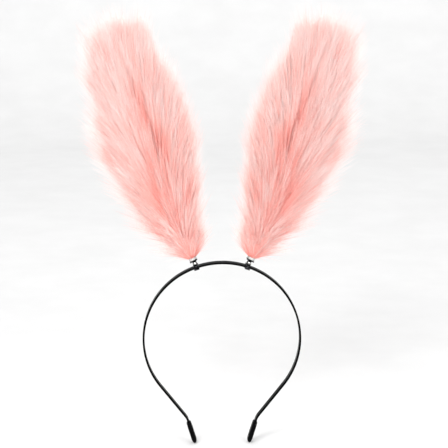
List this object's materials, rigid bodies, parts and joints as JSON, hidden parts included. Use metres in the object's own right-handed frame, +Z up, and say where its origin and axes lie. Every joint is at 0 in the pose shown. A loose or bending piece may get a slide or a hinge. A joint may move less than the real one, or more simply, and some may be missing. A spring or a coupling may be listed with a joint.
{
  "type": "animal ears headband",
  "caption": "Costume headband: a thin sprung black steel strip with tipped ends carries long fur rabbit ears on small riveted clamps that tilt.",
  "frame": {"origin": "middle of the strip's inner face at the crown, where the headband rests on the head", "axes": "+Z up out of the head, +Y to the back of the head, +X to the right in the front view; the strip lies in the XZ plane"},
  "size_m": [0.2244, 0.04, 0.3644],
  "materials": {
    "strip_lacquer": "gloss black lacquer",
    "dipped_cap": "smooth dipped vinyl",
    "nickel_plate": "bright nickel plate",
    "galvanised_wire": "drawn, dull zinc",
    "knit_backing": "fine knit",
    "wadding": "loose fibre",
    "long_pile": "long soft pile"
  },
  "bodies": {
    "crown": {"band_crown": "strip_lacquer", "left_band_clamp": "nickel_plate", "left_pivot_rivet": "nickel_plate", "right_band_clamp": "nickel_plate", "right_pivot_rivet": "nickel_plate"},
    "left_leg": {"band_left_leg": "strip_lacquer", "left_tip_cap": "dipped_cap"},
    "left_ear": {"left_tilt_plate": "nickel_plate", "left_neck_ferrule": "nickel_plate", "left_wire_frame": "galvanised_wire", "left_filling": "wadding", "left_front_panel": "knit_backing", "left_back_panel": "knit_backing", "left_front_fur": "long_pile", "left_back_fur": "long_pile"},
    "right_leg": {"band_right_leg": "strip_lacquer", "right_tip_cap": "dipped_cap"},
    "right_ear": {"right_tilt_plate": "nickel_plate", "right_neck_ferrule": "nickel_plate", "right_wire_frame": "galvanised_wire", "right_filling": "wadding", "right_front_panel": "knit_backing", "right_back_panel": "knit_backing", "right_front_fur": "long_pile", "right_back_fur": "long_pile"}
  },
  "joints": [
    {"name": "left_leg_flex", "type": "hinge", "parent": "crown", "child": "left_leg", "pos_m": [-0.04715, 0, -0.01965], "axis": [0, 1, 0], "range_deg": [-3, 14], "stiffness_Nm_per_rad": 1.1},
    {"name": "left_ear_tilt", "type": "hinge", "parent": "crown", "child": "left_ear", "pos_m": [-0.02209, 0, 0.0005], "axis": [0, -1, 0], "range_deg": [-4, 30]},
    {"name": "right_leg_flex", "type": "hinge", "parent": "crown", "child": "right_leg", "pos_m": [0.04715, 0, -0.01965], "axis": [0, -1, 0], "range_deg": [-3, 14], "stiffness_Nm_per_rad": 1.1},
    {"name": "right_ear_tilt", "type": "hinge", "parent": "crown", "child": "right_ear", "pos_m": [0.02209, 0, 0.0005], "axis": [0, 1, 0], "range_deg": [-4, 30]}
  ]
}
